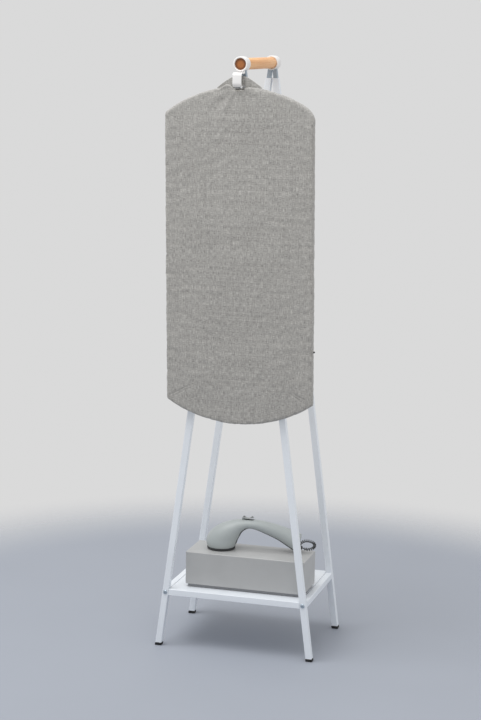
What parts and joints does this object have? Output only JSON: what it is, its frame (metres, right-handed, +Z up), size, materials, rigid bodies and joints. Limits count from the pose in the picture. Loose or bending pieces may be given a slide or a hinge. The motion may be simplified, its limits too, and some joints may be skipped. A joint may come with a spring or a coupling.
{
  "type": "garment steaming and pressing station",
  "caption": "Free-standing steel stand with a wooden handle, a hanging padded pressing board, and a shelf with a steam unit and corded steam handset.",
  "frame": {"origin": "on the floor under the middle of the object's box; the box is measured without the curly cord", "axes": "+Z up, -Y the front where the pressing board hangs, +X to the right as seen from the front"},
  "size_m": [0.4144, 0.3326, 1.489],
  "materials": {
    "white_paint": "satin white powder coat",
    "black_rubber": "matt",
    "bare_steel": "zinc plated, dull",
    "beech": "oiled, fine straight grain",
    "melange_cover": "grey melange weave",
    "felt": "pressed felt",
    "plywood": "sanded plywood",
    "housing_plastic": "fine moulded satin",
    "handset_plastic": "fine moulded satin",
    "dark_plastic": "fine moulded matt",
    "clear_plastic": "smoky translucent",
    "cast_aluminium": "as cast",
    "silicone": "satin",
    "circuit_board": "lacquered",
    "cord_sheath": "satin"
  },
  "bodies": {
    "stand": {"leg_front_left": "white_paint", "leg_front_right": "white_paint", "leg_back_left": "white_paint", "leg_back_right": "white_paint", "foot_front_left": "black_rubber", "foot_front_right": "black_rubber", "foot_back_left": "black_rubber", "foot_back_right": "black_rubber", "leg_spigot_front_left": "bare_steel", "leg_spigot_front_right": "bare_steel", "leg_spigot_back_left": "bare_steel", "leg_spigot_back_right": "bare_steel", "shelf_bolt_front_left": "bare_steel", "shelf_bolt_front_right": "bare_steel", "shelf_bolt_back_left": "bare_steel", "shelf_bolt_back_right": "bare_steel", "collar_front": "white_paint", "collar_back": "white_paint", "handle_dowel": "beech", "shelf_rail_front": "white_paint", "shelf_rail_back": "white_paint", "shelf_rail_left": "white_paint", "shelf_rail_right": "white_paint", "shelf_sheet": "white_paint", "board_hook": "white_paint"},
    "board": {"board_cover": "melange_cover", "board_core": "plywood", "board_padding": "felt", "cover_edge_stud": "dark_plastic"},
    "base_unit": {"base_housing": "housing_plastic", "base_pan": "dark_plastic", "tank_dock": "dark_plastic", "pump": "dark_plastic", "steam_generator": "cast_aluminium", "control_board": "circuit_board", "feed_hose": "silicone", "pressure_hose": "silicone", "steam_hose": "silicone", "mains_inlet": "dark_plastic", "cord_gland": "dark_plastic", "curly_cord": "cord_sheath"},
    "water_tank": {"water_tank": "clear_plastic", "filler_cap": "dark_plastic"},
    "power_rocker": {"power_rocker": "dark_plastic"},
    "handset": {"handset_shell_front": "handset_plastic", "handset_shell_rear": "handset_plastic", "steam_sole": "dark_plastic", "steam_chamber": "cast_aluminium", "steam_pipe": "silicone", "tail_cap": "dark_plastic", "cord_strain_relief": "dark_plastic", "lever_pin": "bare_steel", "steam_switch": "dark_plastic"},
    "thumb_lever": {"thumb_lever": "dark_plastic"}
  },
  "joints": [
    {"name": "board_swing", "type": "hinge", "parent": "stand", "child": "board", "pos_m": [0, -0.14275, 1.4235], "axis": [-1, 0, 0], "range_deg": [0, 30]},
    {"name": "base_unit_lift", "type": "slide", "parent": "stand", "child": "base_unit", "axis": [0, 0, 1], "range_m": [0, 0.1]},
    {"name": "water_tank_pull", "type": "slide", "parent": "base_unit", "child": "water_tank", "axis": [0, 1, 0], "range_m": [0, 0.11]},
    {"name": "power_rocker_tilt", "type": "hinge", "parent": "base_unit", "child": "power_rocker", "pos_m": [0.088, 0.01925, 0.198], "axis": [-1, 0, 0], "range_deg": [0, 10]},
    {"name": "handset_lift", "type": "slide", "parent": "base_unit", "child": "handset", "axis": [0, 0, 1], "range_m": [0, 0.12]},
    {"name": "thumb_lever_press", "type": "hinge", "parent": "handset", "child": "thumb_lever", "pos_m": [-0.0054, -0.02698, 0.3153], "axis": [-0.1167, 0.9932, 0], "range_deg": [0, 6], "stiffness_Nm_per_rad": 0.1}
  ]
}
